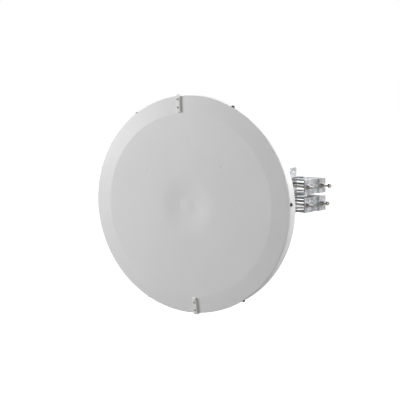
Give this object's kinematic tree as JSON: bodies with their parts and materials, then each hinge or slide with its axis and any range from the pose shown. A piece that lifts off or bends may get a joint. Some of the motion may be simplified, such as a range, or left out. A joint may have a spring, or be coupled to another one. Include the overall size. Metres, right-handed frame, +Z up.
{
  "type": "outdoor wireless bridge",
  "caption": "Outdoor wireless bridge: round parabolic antenna with a bevelled radome, a finned radio behind it and an offset pole mount with azimuth and elevation adjusters.",
  "frame": {"origin": "middle of the pole clamp, on the pole's axis", "axes": "+Z up along the pole; the antenna looks along -Y and stands beside the pole on its -X side"},
  "size_m": [0.7009, 0.4084, 0.6908],
  "materials": {
    "galvanised_steel": "hot-dip galvanised, dull spangle",
    "stainless_steel": "plain stainless fasteners",
    "dark_fastener": "black-coated screws",
    "radome_plastic": "pale grey UV-stable plastic, satin face",
    "clip_plastic": "pale grey moulded plastic",
    "painted_aluminium": "light grey powder coat",
    "cast_aluminium": "fine-cast",
    "radio_paint": "light grey powder coat on die-cast aluminium",
    "black_rubber": "EPDM",
    "bare_aluminium": "machined",
    "feed_dielectric": "white low-loss plastic",
    "circuit_board": "solder mask",
    "latch_steel": "spring stainless",
    "black_plastic": "glass-filled nylon"
  },
  "bodies": {
    "pole_mount": {"pole_bracket": "galvanised_steel", "inner_jaw_upper": "galvanised_steel", "inner_jaw_lower": "galvanised_steel", "clamp_bolts": "stainless_steel", "clamp_end_nuts": "stainless_steel", "azimuth_spacer": "galvanised_steel", "azimuth_pivot_bolt": "stainless_steel", "azimuth_lock_bolts": "stainless_steel", "azimuth_nuts": "stainless_steel"},
    "upper_jaw": {"outer_jaw_upper": "galvanised_steel", "upper_jaw_nuts": "stainless_steel"},
    "lower_jaw": {"outer_jaw_lower": "galvanised_steel", "lower_jaw_nuts": "stainless_steel"},
    "azimuth_head": {"azimuth_bracket": "galvanised_steel", "elevation_pivot_bolt": "stainless_steel", "elevation_lock_bolts": "stainless_steel", "elevation_nuts": "stainless_steel"},
    "azimuth_screw_left": {"azimuth_screw_left": "stainless_steel"},
    "azimuth_screw_right": {"azimuth_screw_right": "stainless_steel"},
    "elevation_screw_upper": {"elevation_screw_upper": "stainless_steel"},
    "elevation_screw_lower": {"elevation_screw_lower": "stainless_steel"},
    "antenna": {"dish_bracket": "galvanised_steel", "hub": "cast_aluminium", "hub_clamp_ring": "cast_aluminium", "hub_bolts": "stainless_steel", "reflector": "painted_aluminium", "radome": "radome_plastic", "radome_gasket": "black_rubber", "rim_screws": "dark_fastener", "rim_washers": "black_rubber", "rim_spacers": "cast_aluminium", "rim_nuts": "stainless_steel", "radome_clip_top": "clip_plastic", "radome_clip_bottom": "clip_plastic", "clip_screws": "stainless_steel", "feed_tube": "bare_aluminium", "feed_cone": "feed_dielectric", "sub_reflector": "bare_aluminium", "radio_adapter": "cast_aluminium", "adapter_bolts": "stainless_steel"},
    "radio": {"radio_base": "radio_paint", "radio_cover": "radio_paint", "radio_gasket": "black_rubber", "cover_screws": "stainless_steel", "main_board": "circuit_board", "rf_module": "bare_aluminium", "heat_spreader": "bare_aluminium", "port_spigot": "bare_aluminium", "port_o_ring": "black_rubber", "latch_pins": "stainless_steel", "gland_body": "black_plastic", "gland_seal": "black_rubber", "vent_plug": "black_plastic", "ground_stud": "stainless_steel"},
    "latch_right": {"latch_right": "latch_steel"},
    "latch_top": {"latch_top": "latch_steel"},
    "latch_left": {"latch_left": "latch_steel"},
    "latch_bottom": {"latch_bottom": "latch_steel"},
    "gland_nut": {"gland_nut": "black_plastic"}
  },
  "joints": [
    {"name": "azimuth_turn", "type": "hinge", "parent": "pole_mount", "child": "azimuth_head", "pos_m": [-0.088, -0.07, 0], "axis": [0, 0, 1], "range_deg": [-12, 12]},
    {"name": "elevation_tilt", "type": "hinge", "parent": "azimuth_head", "child": "antenna", "pos_m": [-0.1275, -0.07, -0.012], "axis": [1, 0, 0], "range_deg": [-12, 12]},
    {"name": "polarisation_turn", "type": "hinge", "parent": "antenna", "child": "radio", "pos_m": [-0.248, -0.112, -0.012], "axis": [0, 1, 0], "range_deg": [0, 90]},
    {"name": "latch_right_open", "type": "hinge", "parent": "radio", "child": "latch_right", "pos_m": [-0.162, -0.086, -0.012], "axis": [0, 0, 1], "range_deg": [0, 25]},
    {"name": "latch_top_open", "type": "hinge", "parent": "radio", "child": "latch_top", "pos_m": [-0.248, -0.086, 0.074], "axis": [-1, 0, 0], "range_deg": [0, 25]},
    {"name": "latch_left_open", "type": "hinge", "parent": "radio", "child": "latch_left", "pos_m": [-0.334, -0.086, -0.012], "axis": [0, 0, -1], "range_deg": [0, 25]},
    {"name": "latch_bottom_open", "type": "hinge", "parent": "radio", "child": "latch_bottom", "pos_m": [-0.248, -0.086, -0.098], "axis": [1, 0, 0], "range_deg": [0, 25]},
    {"name": "gland_nut_turn", "type": "hinge", "parent": "radio", "child": "gland_nut", "pos_m": [-0.206, -0.08, -0.112], "axis": [0, 0, -1], "range_deg": [0, 540]},
    {"name": "azimuth_screw_left_travel", "type": "slide", "parent": "pole_mount", "child": "azimuth_screw_left", "axis": [-1, 0, 0], "range_m": [-0.0121, 0.0121]},
    {"name": "azimuth_screw_right_travel", "type": "slide", "parent": "pole_mount", "child": "azimuth_screw_right", "axis": [1, 0, 0], "range_m": [-0.0121, 0.0121]},
    {"name": "elevation_screw_upper_travel", "type": "slide", "parent": "azimuth_head", "child": "elevation_screw_upper", "axis": [0, 0, 1], "range_m": [-0.0121, 0.0121]},
    {"name": "elevation_screw_lower_travel", "type": "slide", "parent": "azimuth_head", "child": "elevation_screw_lower", "axis": [0, 0, -1], "range_m": [-0.0121, 0.0121]},
    {"name": "upper_jaw_slide", "type": "slide", "parent": "pole_mount", "child": "upper_jaw", "axis": [0.9511, -0.309, 0], "range_m": [-0.012, 0.006]},
    {"name": "lower_jaw_slide", "type": "slide", "parent": "pole_mount", "child": "lower_jaw", "axis": [0.9511, -0.309, 0], "range_m": [-0.012, 0.006]}
  ],
  "couplings": [
    {"joint": "azimuth_screw_left_travel", "follows": "azimuth_turn", "m_per_rad": 0.0573},
    {"joint": "azimuth_screw_right_travel", "follows": "azimuth_turn", "m_per_rad": -0.0573},
    {"joint": "elevation_screw_upper_travel", "follows": "elevation_tilt", "m_per_rad": 0.0573},
    {"joint": "elevation_screw_lower_travel", "follows": "elevation_tilt", "m_per_rad": -0.0573}
  ]
}
